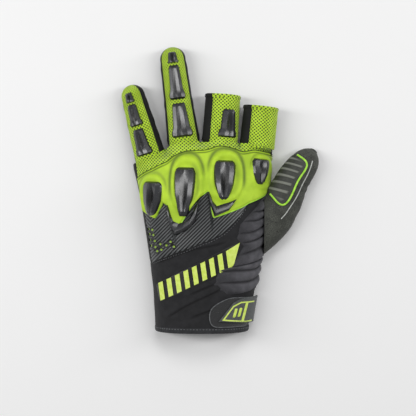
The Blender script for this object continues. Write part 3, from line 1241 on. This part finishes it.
for k in (0, 1):
    line = rounded(cuff_outline(MARK_CORNERS + (22.8 + 3.5 * k, 13.4 + 0.4 * k)), 60, 2)
    place(patch_over_hand(f"strap_mark_{k + 1}", line, 4.3, 5.15, BAR_RUBBER, 0.1, 8), body="strap")
print("strap grid", tt.shape)

# %% [markdown]
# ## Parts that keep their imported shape
# The slanted bars on the cuff, the strap's raised frame and its hook pad are right as they are, so
# they only get a finish.  A dark backing under the bars is a thin patch of rubber.

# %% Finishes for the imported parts
for node, finish in (("cuff_badge", BAR_RUBBER), ("strap_badge", BAR_RUBBER), ("hook_pad", HOOKS)):
    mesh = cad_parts[node].data
    mesh.materials.clear()
    mesh.materials.append(finish)
low, high = (np.array(c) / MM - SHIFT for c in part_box("cuff_badge"))
backing_line = np.array([(low[0] - 0.9, low[1] + 13.6), (low[0] + 2.2, low[1] - 1.4),
                         (high[0] - 8.4, low[1] + 25.0), (high[0] - 3.6, low[1] + 29.4),
                         (high[0] + 0.4, high[1] + 0.9), (high[0] - 12.2, high[1] - 4.6)])
backing = patch_over_hand("bar_backing", rounded(backing_line, 240, 3), 0.9, 1.5, RIBS, 0.05, 46)
place(backing, body="hand")

# %% [markdown]
# ## Seam cords and topstitching
# Where the knit meets the moulded panel the seam shows as a thin olive cord.  A lime line follows the
# moulded panel's pointed lower edge, and the cuff has topstitching beside its upper seam.

# %% Seam details
t = np.linspace(T_LEFT + 2, 82, 300)
seam_y = seam_height(YOKE_SEAM, t, 2.0)
place(rope("yoke_seam_cord", arch(t, seam_y - 0.3, 2.9), 0.38, SEAM_SHADE, 8), body="hand")
t = np.linspace(T_LEFT + 1.5, 72, 700)
place(rope("knuckle_edge_line", arch(t, seam_height(KNUCKLE_SEAM, t, 0.7) + 0.35, 2.5), 0.45, LIME_PIPING, 8),
      body="hand")
t = np.linspace(T_LEFT + 4, t_right - 2, 300)
beside = arch(t, seam_height(RIB_SEAM, t, 1.5) - 2.0, 1.25)
place(stitch_row("cuff_topstitch", beside, 2.4, 1.6, 0.2, DARK_THREAD), body="hand")

# %% [markdown]
# ## Floor, light and camera
# The glove lies on a plain pale floor under soft light.  Two long bright panels beside it give the
# polished guards their streaks; the rest is even light from all round.

# %% Stage
FLOOR_HALF = 3.0
floor_mesh = bpy.data.meshes.new("floor")
floor_mesh.from_pydata([(-FLOOR_HALF, -FLOOR_HALF, 0), (FLOOR_HALF, -FLOOR_HALF, 0),
                        (FLOOR_HALF, FLOOR_HALF, 0), (-FLOOR_HALF, FLOOR_HALF, 0)], [], [(0, 1, 2, 3)])
floor = bpy.data.objects.new("floor", floor_mesh)
bpy.context.scene.collection.objects.link(floor)
pale = Finish("pale_floor", Roughness=0.9, Specular_IOR_Level=0.0)
pale.feed("Base Color", pale.mix(pale.noise(60.0), linear((246, 246, 246)), linear((247, 247, 247))))
floor_mesh.materials.append(pale.material)

world = bpy.data.worlds.new("soft_room")
bpy.context.scene.world = world
world.use_nodes = True
world.node_tree.nodes["Background"].inputs[0].default_value = (1, 1, 1, 1)
world.node_tree.nodes["Background"].inputs[1].default_value = 0.29


def soft_panel(name, spot, aim, wide, tall, watts):
    data = bpy.data.lights.new(name, "AREA")
    data.shape, data.size, data.size_y, data.energy = "RECTANGLE", wide, tall, watts
    light = bpy.data.objects.new(name, data)
    light.location = spot
    light.rotation_mode = "QUATERNION"
    light.rotation_quaternion = (Vector(aim) - Vector(spot)).to_track_quat("-Z", "Y")
    bpy.context.scene.collection.objects.link(light)
    return light


soft_panel("left_strip", (-0.95, 0.15, 0.9), (0, 0, 0.02), 0.25, 1.2, 8.0)
soft_panel("right_strip", (1.0, 0.25, 0.9), (0, 0, 0.02), 0.25, 1.2, 6.5)
soft_panel("top_panel", (0.1, 0.9, 1.3), (0, 0, 0), 0.9, 0.5, 5.4)

# %% Camera
data = bpy.data.cameras.new("above")
data.lens, data.sensor_width, data.clip_start, data.clip_end = 100.0, 36.0, 0.01, 20.0
camera = bpy.data.objects.new("above", data)
camera.location = (-0.0102, -0.0160, 0.981)
camera.rotation_euler = (0, 0, 0)
bpy.context.scene.collection.objects.link(camera)
bpy.context.scene.camera = camera
bpy.context.scene.view_settings.view_transform = "Standard"

# %% Sizes and finish
bpy.context.view_layer.update()
